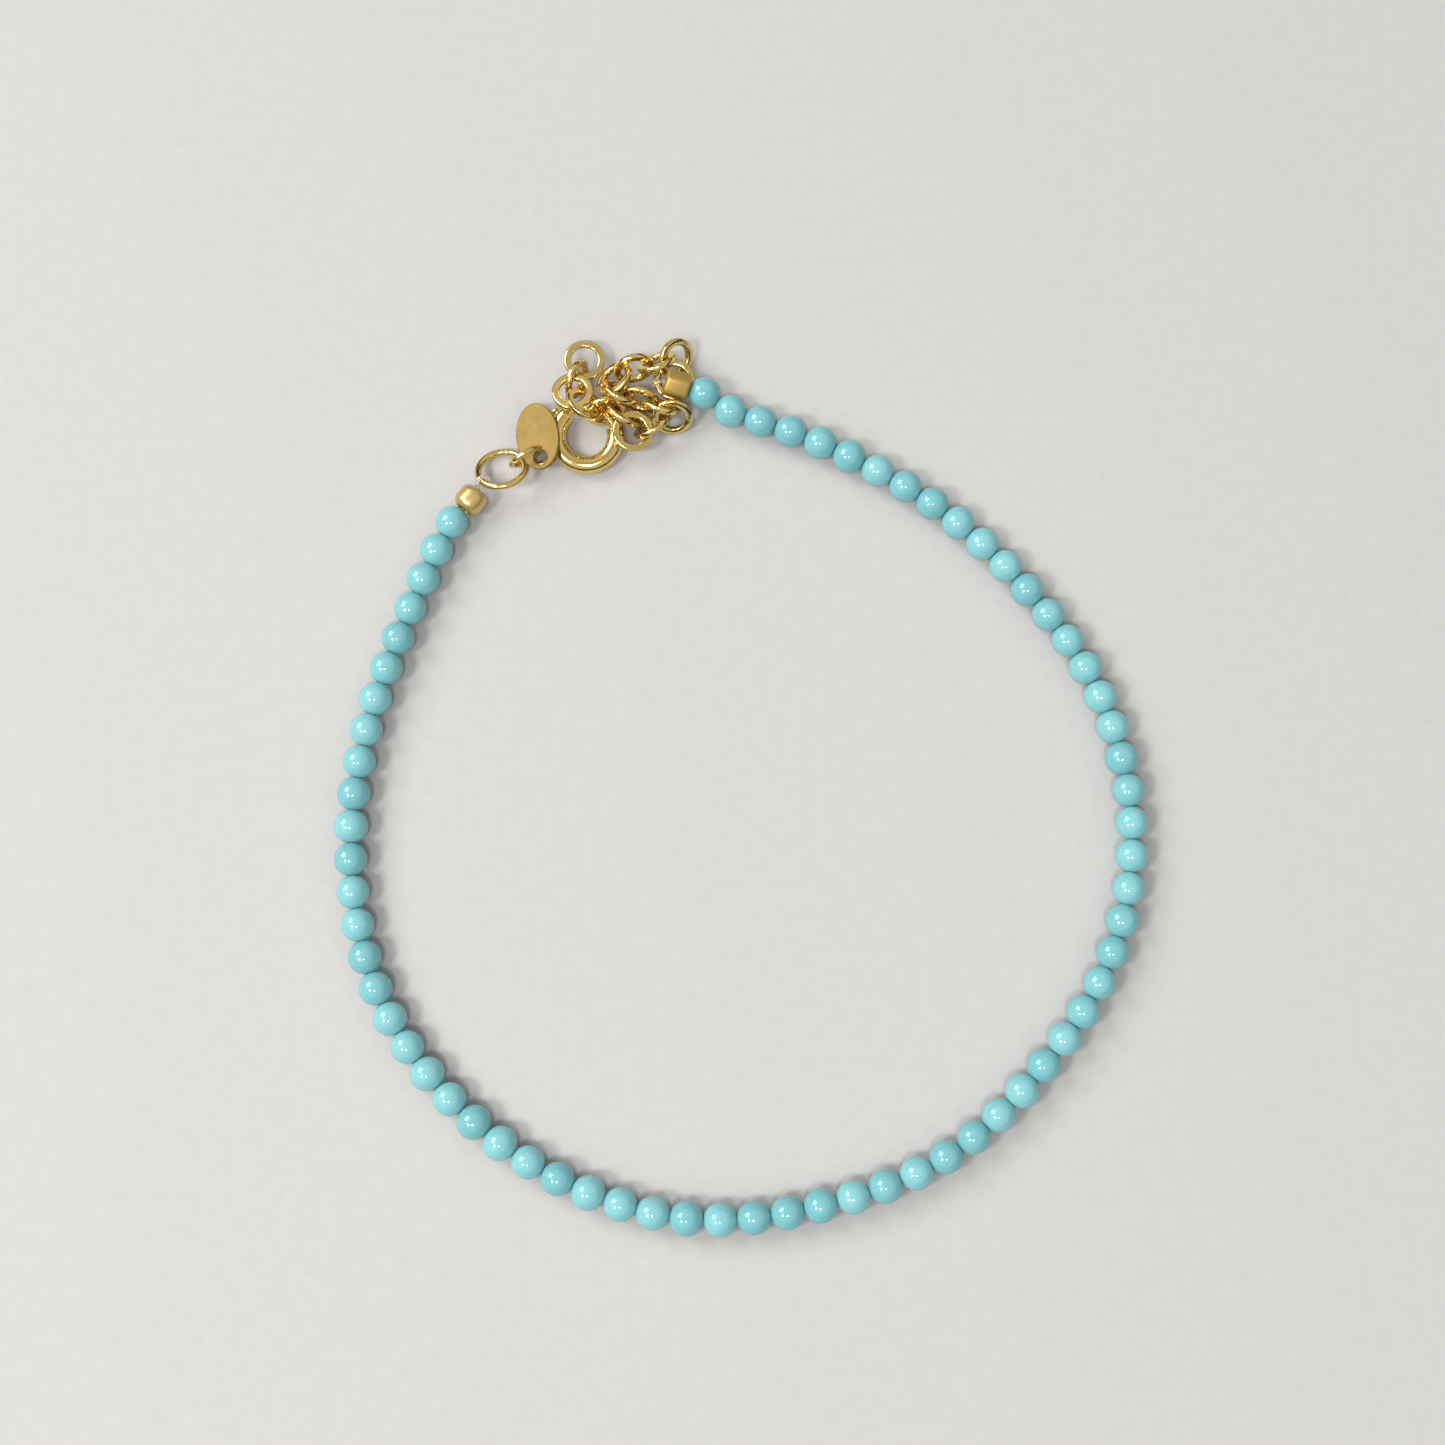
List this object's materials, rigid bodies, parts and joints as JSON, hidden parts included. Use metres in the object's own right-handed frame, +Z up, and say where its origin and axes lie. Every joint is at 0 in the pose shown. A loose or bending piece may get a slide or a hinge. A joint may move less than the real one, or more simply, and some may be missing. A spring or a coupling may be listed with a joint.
{
  "type": "gemstone bracelet",
  "caption": "Slim bracelet of small round turquoise beads on clear thread, with gold crimp beads, a spring ring clasp, an extension chain and a small oval tag.",
  "frame": {"origin": "centre of the bounding box's base, on the table that the bracelet lies on", "axes": "+Z up from the table, +Y towards the clasp"},
  "size_m": [0.0617, 0.0687, 0.004],
  "materials": {
    "turquoise": "gloss",
    "gold": "polished"
  },
  "bodies": {
    "bracelet": {"bead_string": "turquoise", "crimp_bead_right": "gold", "crimp_bead_left": "gold", "jump_ring": "gold", "tag_ring": "gold", "tag": "gold", "clasp_body": "gold", "chain_link_01": "gold", "chain_link_02": "gold", "chain_link_03": "gold", "chain_link_04": "gold", "chain_link_05": "gold", "chain_link_06": "gold", "chain_link_07": "gold", "chain_link_08": "gold", "chain_link_09": "gold", "chain_link_10": "gold", "chain_link_11": "gold", "chain_link_12": "gold", "chain_link_13": "gold", "chain_link_14": "gold", "chain_link_15": "gold", "chain_link_16": "gold", "chain_link_17": "gold"},
    "clasp_gate": {"clasp_gate": "gold"}
  },
  "joints": [
    {"name": "gate_turn", "type": "hinge", "parent": "bracelet", "child": "clasp_gate", "pos_m": [-0.01205, 0.02665, 0.00094], "axis": [0, -0.1045, 0.9945], "range_deg": [0, 38], "stiffness_Nm_per_rad": 0.00005}
  ]
}
